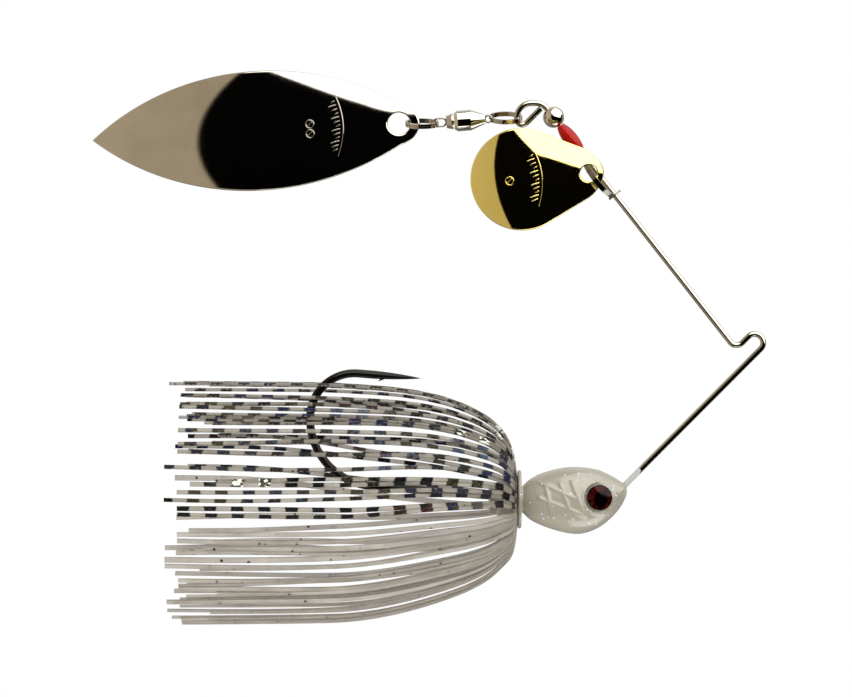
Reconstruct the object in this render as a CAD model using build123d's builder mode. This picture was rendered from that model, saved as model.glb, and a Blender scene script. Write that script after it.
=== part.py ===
"""Spinnerbait: wire frame, cast head, hook, skirt, beads, clevis blade and swivel blade.

Units are millimetres.  The origin is the centre of the line-tie bend, +X points
forward (the way the lure travels), +Z is up and the wire frame lies in y = 0.
"""

import math
import os

from build123d import *

os.makedirs("parts", exist_ok=True)

# ---------------------------------------------------------------- dimensions
# wire frame
WIRE_R = 0.45              # stainless frame wire, 0.035 in
TIE_R = 1.35               # centreline radius of the line-tie bend
TIE_STUB = 1.40            # straight piece between the line tie and the elbow
ELBOW_R = 1.20             # centreline radius of the elbow below the upper arm
STUB_HEADING = 45.0        # degrees from +X
ARM_HEADING = 128.16       # upper arm, degrees from +X
ARM_LENGTH = 46.06
LOWER_HEADING = 225.1      # lower arm, degrees from +X
LOWER_LENGTH = 30.6
ROOT_R = 2.0               # bend inside the casting
ROOT_LENGTH = 5.5          # straight run cast into the head
EYE_TOP_R = 2.20           # end loop, first quarter
EYE_TOP_FLAT = 0.67
EYE_SIDE_R = 2.25
EYE_SIDE_FLAT = 0.22
EYE_NOSE_R = 0.86
EYE_LEG_HEADING = 45.0
EYE_LEG = 3.20

# hook
HOOK_R = 0.635
HOOK_TILT = 4.54           # shank rises towards the bend, degrees
SHANK_FRONT = (-27.8, -24.74)
SHANK_LENGTH = 31.6
HOOK_BEND_R = 10.4
HOOK_CROWN_R = 6.85
POINT_PARALLEL = 2.6       # full-diameter part after the crown
POINT_TAPER = 7.05
BARB_LENGTH = 1.35

# head casting, stations along X: (x, z centre, half height, half width)
HEAD_STATIONS = (
    (-35.90, -24.27, 2.08, 2.08),
    (-34.75, -24.28, 3.12, 2.85),
    (-32.80, -24.28, 4.08, 3.55),
    (-29.80, -24.37, 4.93, 4.25),
    (-27.00, -24.45, 5.12, 4.50),
    (-24.30, -24.22, 4.47, 4.20),
    (-22.20, -23.88, 3.22, 3.30),
    (-20.80, -23.50, 1.98, 2.25),
    (-20.10, -23.08, 1.10, 1.32),
    (-19.82, -22.92, 0.45, 0.60),
)
NECK_R = 2.08
NECK_Z = -24.27
FLANGE_R = 4.53
FLANGE_FRONT = -36.15
FLANGE_T = 0.60
COLLAR_R = 1.90
COLLAR_END = -41.2
COLLAR_LIP_R = 2.25
EYE_X, EYE_Z = -24.13, -23.89
EYE_POCKET_R = 2.30
EYE_POCKET_FLOOR = 3.35
EYE_R = 1.95
EYE_EDGE_T = 0.30
EYE_DOME = 0.35

# skirt
SKIRT_AXIS_Z = -24.75
SKIRT_REAR = -90.3
SKIRT_WALL = 1.5
SKIRT_SPLIT = 6.0          # the printed layers reach this far below level, degrees
SKIRT_SLIT = 2.6
SKIRT_SLIT_FRONT = -59.5
BAND_OUTER_R = 3.05
BAND_FRONT, BAND_REAR = -37.75, -39.95

# beads on the upper arm, distances measured up the arm from the elbow
BORE_R = 0.50
BALL_AT, BALL_R = 44.36, 1.65
OVAL_AT, OVAL_LENGTH, OVAL_R = 40.05, 5.30, 1.15

# clevis
CLEVIS_AT = 32.53
CLEVIS_HALF = 3.5          # ear to centre, and the bow's radius
CLEVIS_LEG = 0.80
CLEVIS_T = 0.35
CLEVIS_W = 0.80
EAR_R = 1.10
EAR_BORE_R = 0.53
CLEVIS_LEAN = 15.0         # lean of the bow out of the square direction, degrees

# round (Colorado) blade
COL_LENGTH, COL_HALF_W = 20.55, 7.90
COL_HOLE_AT, COL_HOLE_R = 2.30, 1.30
COL_HEADING = 185.2
COL_HOLE = (-25.82, -3.72, 26.15)
COL_DISH_LONG, COL_DISH_WIDE = 22.0, 24.0
COL_YAW, COL_PITCH = -4.6, -5.7   # how the blade lies on the clevis, degrees
COL_T = 0.42

# long (willow) blade
WIL_LENGTH, WIL_HALF_W = 52.05, 9.30
WIL_HOLE_AT, WIL_HOLE_R = 3.20, 1.70
WIL_HEADING = 182.6
WIL_HOLE = (-55.13, 0.0, 33.95)
WIL_DISH_LONG, WIL_DISH_WIDE = 105.0, 36.0
WIL_YAW, WIL_PITCH = -9.0, 0.0    # the tail trails behind the plane of the frame
WIL_T = 0.50

# split rings
RING_OUTER_R = 2.60
RING_BAND = 0.36           # radial
RING_COIL = 0.33           # axial, one coil
RING_PITCH = 0.36
RING_STEP = 50.0           # degrees taken by the crossover
RING1_CENTRE = (-38.58, 0.0, 34.84)
RING1_TILT = 18.0
RING2_CENTRE = (-51.53, 0.0, 33.95)
RING2_TILT = 13.6

# ball-bearing swivel, stations along its own axis, zero at the barrel/cone edge
SWIVEL_ZERO = (-44.0, 0.0, 34.50)
SWIVEL_RISE = 4.2
BARREL_R = 1.60
BARREL_REAR = -2.55
BARREL_SHOULDER = 0.50
CONE_LENGTH, CONE_END_R = 2.15, 0.76
SHELL_T = 0.30
COLLET_FRONT, COLLET_REAR = -2.70, -3.78
COLLET_FRONT_R, COLLET_REAR_R = 1.24, 0.96
SHAFT_R = 0.42
BEARING_N, BEARING_R, BEARING_PITCH_R = 8, 0.28, 0.93
BEARING_AT = -1.62
EYE_WIRE_R = 0.16
FRONT_EYE_R = 0.54
FRONT_EYE_AT = 2.74
REAR_EYE_R = 0.62
REAR_EYE_FLAT = 0.66


# ------------------------------------------------------------------- helpers
def heading(angle):
    a = math.radians(angle)
    return Vector(math.cos(a), 0, math.sin(a))


def piece(shape, name):
    shape.label = name
    export_step(shape, f"parts/{name}.step")
    return shape


def bend(start, angle, radius, turn):
    """End point and heading after an arc in the y = 0 plane (turn > 0 is to the left)."""
    side = 1 if turn > 0 else -1
    left = Vector(-math.sin(math.radians(angle)), 0, math.cos(math.radians(angle)))
    centre = start + left * (radius * side)
    end_angle = angle + turn
    left_end = Vector(-math.sin(math.radians(end_angle)), 0, math.cos(math.radians(end_angle)))
    half = angle + turn / 2
    left_half = Vector(-math.sin(math.radians(half)), 0, math.cos(math.radians(half)))
    return centre - left_half * (radius * side), centre - left_end * (radius * side), end_angle


def run(points, section_r, first_heading):
    """Round wire swept along a list of ('line', end) and ('arc', middle, end) steps."""
    with BuildPart() as wire:
        with BuildLine() as path:
            here = points[0]
            for step in points[1:]:
                if step[0] == "line":
                    Line(here, step[1])
                    here = step[1]
                else:
                    ThreePointArc(here, step[1], step[2])
                    here = step[2]
        with BuildSketch(Plane(origin=points[0], z_dir=heading(first_heading))):
            Circle(section_r)
        sweep(path=path.line)
    return wire.part


# ---------------------------------------------------------------- wire frame
tie_start = Vector(0, 0, 0) + heading(STUB_HEADING + 90) * TIE_R
stub_end = tie_start - heading(STUB_HEADING) * TIE_STUB
elbow_turn = STUB_HEADING - (ARM_HEADING + 180 - 360)
elbow_centre = stub_end + heading(STUB_HEADING + 90) * ELBOW_R
elbow_end = elbow_centre + heading(ARM_HEADING + 90) * ELBOW_R
elbow_mid = elbow_centre + heading((STUB_HEADING - 90 + ARM_HEADING + 90) / 2 + 180) * ELBOW_R


def arm(distance):
    return elbow_end + heading(ARM_HEADING) * distance


loop_start = arm(ARM_LENGTH)
m1, p1, h1 = bend(loop_start, ARM_HEADING, EYE_TOP_R, 180 - ARM_HEADING)
p2 = p1 + heading(180) * EYE_TOP_FLAT
m3, p3, h3 = bend(p2, 180, EYE_SIDE_R, 90)
p3b = p3 + heading(270) * EYE_SIDE_FLAT
m4, p4, h4 = bend(p3b, 270, EYE_NOSE_R, 90 + EYE_LEG_HEADING)
p5 = p4 + heading(EYE_LEG_HEADING) * EYE_LEG

tie_mid, tie_end, _ = bend(tie_start, STUB_HEADING, TIE_R, LOWER_HEADING - 360 - STUB_HEADING)
lower_end = tie_end + heading(LOWER_HEADING) * LOWER_LENGTH
root_heading = 180 - HOOK_TILT
m7, p7, h7 = bend(lower_end, LOWER_HEADING, ROOT_R, root_heading - LOWER_HEADING)
p8 = p7 + heading(root_heading) * ROOT_LENGTH

wire_frame = run(
    [
        p5,
        ("line", p4),
        ("arc", m4, p3b),
        ("line", p3),
        ("arc", m3, p2),
        ("line", p1),
        ("arc", m1, loop_start),
        ("line", elbow_end),
        ("arc", elbow_mid, stub_end),
        ("line", tie_start),
        ("arc", tie_mid, tie_end),
        ("line", lower_end),
        ("arc", m7, p7),
        ("line", p8),
    ],
    WIRE_R,
    EYE_LEG_HEADING + 180,
)
piece(wire_frame, "wire_frame")

# ---------------------------------------------------------------------- hook
shank_front = Vector(SHANK_FRONT[0], 0, SHANK_FRONT[1])
shank_heading = 180 - HOOK_TILT
bend_start = shank_front + heading(shank_heading) * SHANK_LENGTH
hm1, hp1, hh1 = bend(bend_start, shank_heading, HOOK_BEND_R, -90)
hm2, hp2, hh2 = bend(hp1, hh1, HOOK_CROWN_R, -90)
point_start = hp2 + heading(hh2) * POINT_PARALLEL
hook_tip = point_start + heading(hh2) * POINT_TAPER
hook_wire = run(
    [
        shank_front,
        ("line", bend_start),
        ("arc", hm1, hp1),
        ("arc", hm2, hp2),
        ("line", point_start),
    ],
    HOOK_R,
    shank_heading,
)
with BuildPart() as hook_build:
    add(hook_wire)
    with BuildSketch(Plane(origin=point_start, z_dir=heading(hh2))):
        Circle(HOOK_R)
    with BuildSketch(Plane(origin=point_start + heading(hh2) * POINT_TAPER * 0.55, z_dir=heading(hh2))):
        Circle(HOOK_R * 0.66)
    with BuildSketch(Plane(origin=hook_tip, z_dir=heading(hh2))):
        Circle(0.05)
    loft()
    inward = heading(hh2 - 90)
    barb_root = point_start + heading(hh2) * 1.15
    with BuildSketch(Plane(origin=(0, -0.18, 0), x_dir=(1, 0, 0), z_dir=(0, -1, 0))) as barb:
        with BuildLine():
            a = barb_root + inward * 0.30
            b = barb_root + heading(hh2) * 1.1 + inward * 0.30
            c = barb_root - heading(hh2) * (BARB_LENGTH * 0.45) + inward * 1.02
            Polyline((a.X, a.Z), (b.X, b.Z), (c.X, c.Z), close=True)
        make_face()
    extrude(amount=-0.36)
hook = hook_build.part
piece(hook, "hook")

# ---------------------------------------------------------------------- head
with BuildPart() as head_build:
    for x, z, half_h, half_w in HEAD_STATIONS:
        with BuildSketch(Plane(origin=(x, 0, z), x_dir=(0, 1, 0), z_dir=(1, 0, 0))):
            Ellipse(half_w, half_h)
    loft()
    with BuildSketch(Plane(origin=(HEAD_STATIONS[0][0] + 0.02, 0, NECK_Z), z_dir=(-1, 0, 0))):
        Circle(NECK_R)
    extrude(amount=HEAD_STATIONS[0][0] + 0.02 - FLANGE_FRONT)
    with BuildSketch(Plane(origin=(FLANGE_FRONT, 0, NECK_Z), z_dir=(-1, 0, 0))):
        Circle(FLANGE_R)
    extrude(amount=FLANGE_T)
    with BuildSketch(Plane(origin=(FLANGE_FRONT - FLANGE_T, 0, NECK_Z), z_dir=(-1, 0, 0))):
        Circle(COLLAR_R)
    extrude(amount=FLANGE_FRONT - FLANGE_T - COLLAR_END)
    with BuildSketch(Plane(origin=(COLLAR_END + 0.6, 0, NECK_Z), z_dir=(-1, 0, 0))):
        Circle(COLLAR_LIP_R)
    extrude(amount=0.6)
    for side in (-1, 1):
        with BuildSketch(Plane(origin=(EYE_X, side * EYE_POCKET_FLOOR, EYE_Z), z_dir=(0, side, 0))):
            Circle(EYE_POCKET_R)
        extrude(amount=3.0, mode=Mode.SUBTRACT)
    add(wire_frame, mode=Mode.SUBTRACT)
    add(hook, mode=Mode.SUBTRACT)
piece(head_build.part, "head")

# ---------------------------------------------------------------------- eyes
EYE_BALL_R = (EYE_R ** 2 + EYE_DOME ** 2) / (2 * EYE_DOME)
for name, side in (("eye_near", -1), ("eye_far", 1)):
    floor = side * (EYE_POCKET_FLOOR + 0.02)
    top = floor + side * (EYE_EDGE_T + EYE_DOME)
    with BuildPart() as eye:
        with BuildSketch(Plane(origin=(EYE_X, floor, EYE_Z), z_dir=(0, side, 0))):
            Circle(EYE_R)
        extrude(amount=EYE_EDGE_T + EYE_DOME + 0.1)
        with Locations((EYE_X, top - side * EYE_BALL_R, EYE_Z)):
            Sphere(EYE_BALL_R, mode=Mode.INTERSECT)
    piece(eye.part, name)

# --------------------------------------------------------------------- skirt
SKIRT_PROFILE = (
    (-37.00, 4.35),
    (-37.85, 8.55),
    (-40.50, 11.85),
    (-44.40, 14.20),
    (-49.40, 16.00),
    (-55.00, 17.30),
    (-61.00, 18.10),
    (-67.00, 18.45),
    (SKIRT_REAR, 18.75),
)


def skirt_layer(name, start, sweep_angle):
    with BuildPart() as layer:
        with BuildSketch(Plane(origin=(0, 0, SKIRT_AXIS_Z), x_dir=(1, 0, 0), z_dir=(0, -1, 0))) as wall:
            with BuildLine():
                outer = Spline(*SKIRT_PROFILE)
                inner_points = [(x - SKIRT_WALL * 0.45, r - SKIRT_WALL) for x, r in SKIRT_PROFILE[1:-1]]
                inner = Spline((SKIRT_PROFILE[0][0] - SKIRT_WALL, SKIRT_PROFILE[0][1]), *inner_points, (SKIRT_REAR, 18.75 - SKIRT_WALL))
                Line(outer @ 0, inner @ 0)
                Line(outer @ 1, inner @ 1)
            make_face()
        revolve(axis=Axis((0, 0, SKIRT_AXIS_Z), (1, 0, 0)), revolution_arc=sweep_angle)
        layer_part = layer.part
    with BuildPart() as turned:
        add(layer_part.rotate(Axis((0, 0, SKIRT_AXIS_Z), (1, 0, 0)), start))
        with Locations(((SKIRT_SLIT_FRONT + SKIRT_REAR - 4) / 2, 0, -10)):
            Box(SKIRT_SLIT_FRONT - SKIRT_REAR + 4, SKIRT_SLIT, 20, mode=Mode.SUBTRACT)
    piece(turned.part, name)


GAP = 0.6                  # degrees left between neighbouring layers
skirt_layer("skirt_printed_far", -90 - SKIRT_SPLIT + GAP, 90 + SKIRT_SPLIT - 2 * GAP)
skirt_layer("skirt_printed_near", GAP, 90 + SKIRT_SPLIT - 2 * GAP)
skirt_layer("skirt_plain_near", 90 + SKIRT_SPLIT + GAP, 90 - SKIRT_SPLIT - 2 * GAP)
skirt_layer("skirt_plain_far", 180 + GAP, 90 - SKIRT_SPLIT - 2 * GAP)

with BuildPart() as band:
    with BuildSketch(Plane(origin=(BAND_FRONT, 0, NECK_Z), z_dir=(-1, 0, 0))):
        Circle(BAND_OUTER_R)
        Circle(COLLAR_R + 0.02, mode=Mode.SUBTRACT)
    extrude(amount=BAND_FRONT - BAND_REAR)
    fillet(band.edges().filter_by(GeomType.CIRCLE).group_by(SortBy.RADIUS)[-1], 0.35)
piece(band.part, "skirt_band")

# --------------------------------------------------------------------- beads
arm_dir = heading(ARM_HEADING)


def on_arm(distance):
    return Plane(origin=arm(distance), x_dir=(0, -1, 0), z_dir=arm_dir)


with BuildPart() as ball:
    with Locations(Location(on_arm(BALL_AT))):
        Sphere(BALL_R)
        Sphere(BALL_R - 0.30, mode=Mode.SUBTRACT)
        Cylinder(BORE_R, 2 * BALL_R + 1, mode=Mode.SUBTRACT)
piece(ball.part, "ball_bead")

with BuildPart() as oval:
    half = OVAL_LENGTH / 2
    with BuildSketch(Plane(origin=arm(OVAL_AT), x_dir=(0, -1, 0), z_dir=arm_dir.cross(Vector(0, -1, 0)) * -1)) as oval_profile:
        with BuildLine():
            Line((BORE_R, -half), (BORE_R, half))
            Line((BORE_R, half), (BORE_R + 0.10, half))
            ThreePointArc((BORE_R + 0.10, half), (OVAL_R, 0), (BORE_R + 0.10, -half))
            Line((BORE_R + 0.10, -half), (BORE_R, -half))
        make_face()
    revolve(axis=Axis(tuple(arm(OVAL_AT)), tuple(arm_dir)))
piece(oval.part, "oval_bead")

# -------------------------------------------------------------------- clevis
lean = math.radians(CLEVIS_LEAN)
left = heading(ARM_HEADING + 90)
bow_dir = Vector(0, -1, 0) * math.cos(lean) + left * math.sin(lean)
clevis_centre = arm(CLEVIS_AT)
bow_centre = clevis_centre + bow_dir * CLEVIS_LEG
strip_normal = arm_dir.cross(bow_dir)
with BuildPart() as clevis:
    upper = clevis_centre + arm_dir * CLEVIS_HALF
    lower = clevis_centre - arm_dir * CLEVIS_HALF
    with BuildLine() as strip_path:
        Line(upper, bow_centre + arm_dir * CLEVIS_HALF)
        ThreePointArc(bow_centre + arm_dir * CLEVIS_HALF, bow_centre + bow_dir * CLEVIS_HALF, bow_centre - arm_dir * CLEVIS_HALF)
        Line(bow_centre - arm_dir * CLEVIS_HALF, lower)
    with BuildSketch(Plane(origin=upper, x_dir=strip_normal, z_dir=bow_dir)):
        Rectangle(CLEVIS_W, CLEVIS_T)
    sweep(path=strip_path.line)
    for ear in (upper, lower):
        with BuildSketch(Plane(origin=ear - arm_dir * (CLEVIS_T / 2), z_dir=arm_dir)):
            Circle(EAR_R)
        extrude(amount=CLEVIS_T)
    with Locations(Location(on_arm(CLEVIS_AT))):
        Cylinder(EAR_BORE_R, 2 * CLEVIS_HALF + 2, mode=Mode.SUBTRACT)
piece(clevis.part, "clevis")


# -------------------------------------------------------------------- blades
def blade(name, outline, hole_at, hole_r, hole_point, blade_heading, dish_long, dish_wide, thickness, middle, length, yaw, pitch):
    """Dished sheet blade: outline prism kept between two barrel-shaped surfaces."""
    yaw_a, pitch_a = math.radians(yaw), math.radians(pitch)
    facing = Vector(math.sin(yaw_a) * math.cos(pitch_a), -math.cos(yaw_a) * math.cos(pitch_a), math.sin(pitch_a))
    along = heading(blade_heading)
    along = (along - facing * along.dot(facing)).normalized()
    with BuildPart() as sheet:
        # band of revolution: local x along the blade, local z towards the convex side
        with BuildSketch(Plane(origin=(middle, 0, -dish_wide), x_dir=(1, 0, 0), z_dir=(0, -1, 0))):
            with BuildLine():
                reach = length * 0.62
                drop = dish_long - math.sqrt(dish_long ** 2 - reach ** 2)
                top = ThreePointArc((-reach, dish_wide - drop), (0, dish_wide), (reach, dish_wide - drop))
                low = ThreePointArc((-reach, dish_wide - drop - thickness), (0, dish_wide - thickness), (reach, dish_wide - drop - thickness))
                Line(top @ 0, low @ 0)
                Line(top @ 1, low @ 1)
            make_face()
        turn = min(80.0, math.degrees(math.asin(min(0.98, length * 0.5 / dish_wide))))
        revolve(axis=Axis((middle, 0, -dish_wide), (1, 0, 0)), revolution_arc=2 * turn)
    band_part = sheet.part.rotate(Axis((middle, 0, -dish_wide), (1, 0, 0)), -turn)
    with BuildPart() as cut:
        with BuildSketch(Plane(origin=(0, 0, -30), z_dir=(0, 0, 1))):
            make_face(outline().edges())
            with Locations((hole_at, 0)):
                Circle(hole_r, mode=Mode.SUBTRACT)
        extrude(amount=60)
        add(band_part, mode=Mode.INTERSECT)
    flat = cut.part
    offset_hole = hole_at - middle
    sink = dish_long - math.sqrt(dish_long ** 2 - offset_hole ** 2)
    z_hole = -sink - thickness / 2
    target = Plane(
        origin=Vector(*hole_point) - along * hole_at - facing * z_hole,
        x_dir=along,
        z_dir=facing,
    )
    return piece(flat.moved(Location(target)), name)


def colorado_outline():
    with BuildLine() as edge:
        big = COL_LENGTH - COL_HALF_W
        join = math.radians(117)
        jx, jy = big + COL_HALF_W * math.cos(join), COL_HALF_W * math.sin(join)
        ThreePointArc((COL_LENGTH, 0), (big + COL_HALF_W * math.cos(math.radians(55)), COL_HALF_W * math.sin(math.radians(55))), (jx, jy))
        Line((jx, jy), (2.9, 3.98))
        ThreePointArc((2.9, 3.98), (0.80, 2.12), (0, 0))
        ThreePointArc((0, 0), (0.80, -2.12), (2.9, -3.98))
        Line((2.9, -3.98), (jx, -jy))
        ThreePointArc((jx, -jy), (big + COL_HALF_W * math.cos(math.radians(55)), -COL_HALF_W * math.sin(math.radians(55))), (COL_LENGTH, 0))
    return edge.line


def willow_outline():
    with BuildLine() as edge:
        ThreePointArc((WIL_LENGTH, 0), (WIL_LENGTH / 2 + 0.2, WIL_HALF_W), (3.0, 3.25))
        ThreePointArc((3.0, 3.25), (0.75, 1.85), (0, 0))
        ThreePointArc((0, 0), (0.75, -1.85), (3.0, -3.25))
        ThreePointArc((3.0, -3.25), (WIL_LENGTH / 2 + 0.2, -WIL_HALF_W), (WIL_LENGTH, 0))
    return edge.line


blade("colorado_blade", colorado_outline, COL_HOLE_AT, COL_HOLE_R, COL_HOLE, COL_HEADING,
      COL_DISH_LONG, COL_DISH_WIDE, COL_T, COL_LENGTH - COL_HALF_W, COL_LENGTH, COL_YAW, COL_PITCH)
blade("willow_blade", willow_outline, WIL_HOLE_AT, WIL_HOLE_R, WIL_HOLE, WIL_HEADING,
      WIL_DISH_LONG, WIL_DISH_WIDE, WIL_T, WIL_LENGTH / 2, WIL_LENGTH, WIL_YAW, WIL_PITCH)


# --------------------------------------------------------------- split rings
def split_ring(name, centre, tilt, step_at):
    """Two flat coils joined by one crossover, lying near level and tipped about X."""
    mean = RING_OUTER_R - RING_BAND / 2
    coil = 360 - RING_STEP
    with BuildPart() as ring:
        for level, first in ((-RING_PITCH / 2, step_at + RING_STEP / 2), (RING_PITCH / 2, step_at + RING_STEP / 2)):
            with BuildSketch(Plane(origin=(0, 0, level), x_dir=heading(0), z_dir=(0, -1, 0)).rotated((0, 0, 0))) as section:
                with Locations((mean, 0)):
                    Rectangle(RING_BAND, RING_COIL)
            revolve(axis=Axis((0, 0, 0), (0, 0, 1)), revolution_arc=coil)
    coils = ring.part.rotate(Axis((0, 0, 0), (0, 0, 1)), step_at + RING_STEP / 2)
    # crossover: short ramp made of a ruled strip between the two levels
    with BuildPart() as ramp:
        steps = 6
        for i in range(steps + 1):
            share = i / steps
            ease = 0.5 - 0.5 * math.cos(math.pi * share)
            angle = step_at - RING_STEP / 2 + RING_STEP * share
            radial = Vector(math.cos(math.radians(angle)), math.sin(math.radians(angle)), 0)
            tangent = Vector(-radial.Y, radial.X, 0)
            with BuildSketch(Plane(origin=radial * mean + Vector(0, 0, RING_PITCH * (ease - 0.5)), x_dir=radial, z_dir=tangent)):
                Rectangle(RING_BAND, RING_COIL)
        loft()
    with BuildPart() as whole:
        add(coils)
        add(ramp.part)
    placed = whole.part.rotate(Axis((0, 0, 0), (1, 0, 0)), tilt).moved(Location(centre))
    return piece(placed, name)


split_ring("split_ring_front", RING1_CENTRE, RING1_TILT, 180)
split_ring("split_ring_rear", RING2_CENTRE, RING2_TILT, 0)

# -------------------------------------------------------------------- swivel
swivel_dir = heading(SWIVEL_RISE)
zero = Vector(*SWIVEL_ZERO)


def on_swivel(distance):
    return Plane(origin=zero + swivel_dir * distance, x_dir=(0, -1, 0), z_dir=swivel_dir)


def turned(name, profile):
    """Solid of revolution about the swivel axis from (distance, radius) corners."""
    with BuildPart() as part:
        with BuildSketch(Plane(origin=zero, x_dir=swivel_dir, z_dir=(0, -1, 0))):
            with BuildLine():
                Polyline(*profile, close=True)
            make_face()
        revolve(axis=Axis(tuple(zero), tuple(swivel_dir)))
    return part.part


barrel = turned("swivel_barrel", (
    (BARREL_REAR, SHAFT_R + 0.06),
    (BARREL_REAR, BARREL_R - 0.34),
    (BARREL_REAR + BARREL_SHOULDER, BARREL_R),
    (0, BARREL_R),
    (CONE_LENGTH, CONE_END_R),
    (CONE_LENGTH, EYE_WIRE_R + 0.22),
    (CONE_LENGTH - 0.7, EYE_WIRE_R + 0.22),
    (0, BARREL_R - SHELL_T),
    (BARREL_REAR + 0.60, BARREL_R - SHELL_T),
    (BARREL_REAR + 0.60, SHAFT_R + 0.06),
))
piece(barrel, "swivel_barrel")

with BuildPart() as front_eye:
    with Locations(Location(Plane(origin=zero + swivel_dir * FRONT_EYE_AT, x_dir=swivel_dir, z_dir=(0, -1, 0)))):
        Torus(FRONT_EYE_R, EYE_WIRE_R)
    with BuildSketch(on_swivel(0.9)):
        Circle(EYE_WIRE_R + 0.21)
    extrude(amount=FRONT_EYE_AT - FRONT_EYE_R - 0.9)
    with BuildSketch(on_swivel(0.55)):
        Circle(0.62)
    extrude(amount=0.35)
piece(front_eye.part, "swivel_front_eye")

with BuildPart() as bearings:
    for i in range(BEARING_N):
        a = 2 * math.pi * i / BEARING_N
        spot = zero + swivel_dir * BEARING_AT + Vector(0, -1, 0) * (BEARING_PITCH_R * math.cos(a)) + heading(SWIVEL_RISE + 90) * (BEARING_PITCH_R * math.sin(a))
        with Locations(spot):
            Sphere(BEARING_R)
piece(bearings.part, "swivel_bearings")

shaft = turned("swivel_shaft", (
    (COLLET_REAR + 0.1, 0),
    (COLLET_REAR + 0.1, SHAFT_R),
    (BEARING_AT + BEARING_R + 0.03, SHAFT_R),
    (BEARING_AT + BEARING_R + 0.03, BARREL_R - SHELL_T - 0.10),
    (BEARING_AT + BEARING_R + 0.38, BARREL_R - SHELL_T - 0.10),
    (BEARING_AT + BEARING_R + 0.38, 0),
))
piece(shaft, "swivel_shaft")

collet = turned("swivel_collet", (
    (COLLET_REAR, SHAFT_R + 0.0),
    (COLLET_REAR, COLLET_REAR_R),
    (COLLET_FRONT - 0.28, COLLET_FRONT_R - 0.04),
    (COLLET_FRONT - 0.24, COLLET_FRONT_R - 0.12),
    (COLLET_FRONT - 0.18, COLLET_FRONT_R - 0.12),
    (COLLET_FRONT - 0.14, COLLET_FRONT_R),
    (COLLET_FRONT, COLLET_FRONT_R),
    (COLLET_FRONT, SHAFT_R + 0.0),
))
piece(collet, "swivel_collet")

with BuildPart() as rear_eye:
    back = COLLET_REAR - 0.02
    c1 = zero + swivel_dir * (back - REAR_EYE_R)
    c2 = zero + swivel_dir * (back - REAR_EYE_R - REAR_EYE_FLAT)
    up = heading(SWIVEL_RISE + 90)
    with BuildLine() as loop_path:
        Line(c1 + up * REAR_EYE_R, c2 + up * REAR_EYE_R)
        ThreePointArc(c2 + up * REAR_EYE_R, c2 - swivel_dir * REAR_EYE_R, c2 - up * REAR_EYE_R)
        Line(c2 - up * REAR_EYE_R, c1 - up * REAR_EYE_R)
        ThreePointArc(c1 - up * REAR_EYE_R, c1 + swivel_dir * REAR_EYE_R, c1 + up * REAR_EYE_R)
    with BuildSketch(Plane(origin=c1 + up * REAR_EYE_R, z_dir=-swivel_dir)):
        Circle(EYE_WIRE_R)
    sweep(path=loop_path.line)
piece(rear_eye.part, "swivel_rear_eye")
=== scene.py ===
import math
import random
import bpy
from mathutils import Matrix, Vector, geometry


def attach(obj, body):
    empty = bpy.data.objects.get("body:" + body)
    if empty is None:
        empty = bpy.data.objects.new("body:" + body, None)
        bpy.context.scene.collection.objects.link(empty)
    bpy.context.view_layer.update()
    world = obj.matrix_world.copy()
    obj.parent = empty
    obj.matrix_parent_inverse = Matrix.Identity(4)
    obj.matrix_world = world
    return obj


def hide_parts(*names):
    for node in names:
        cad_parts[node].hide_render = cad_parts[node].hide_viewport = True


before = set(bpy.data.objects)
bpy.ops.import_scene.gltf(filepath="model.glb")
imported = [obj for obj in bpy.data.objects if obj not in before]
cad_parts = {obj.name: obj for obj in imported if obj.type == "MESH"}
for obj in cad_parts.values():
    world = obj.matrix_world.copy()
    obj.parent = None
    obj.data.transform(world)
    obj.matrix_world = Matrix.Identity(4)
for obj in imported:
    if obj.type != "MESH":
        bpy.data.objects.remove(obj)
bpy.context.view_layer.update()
scene = bpy.context.scene
MM = 0.001

# ------------------------------------------------------------------ camera
LENS, SENSOR = 200, 36
VIEW_WIDTH = 0.13206
VIEW_X, VIEW_Z = -0.05092, -0.0009
scene.view_settings.view_transform = "Standard"
cam_data = bpy.data.cameras.new("camera")
cam_data.lens = LENS
cam_data.sensor_width = SENSOR
cam_data.clip_end = 20
camera = bpy.data.objects.new("camera", cam_data)
scene.collection.objects.link(camera)
camera.location = (VIEW_X, -VIEW_WIDTH * LENS / SENSOR, VIEW_Z)
camera.rotation_euler = (math.radians(90), 0, 0)
scene.camera = camera


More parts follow.
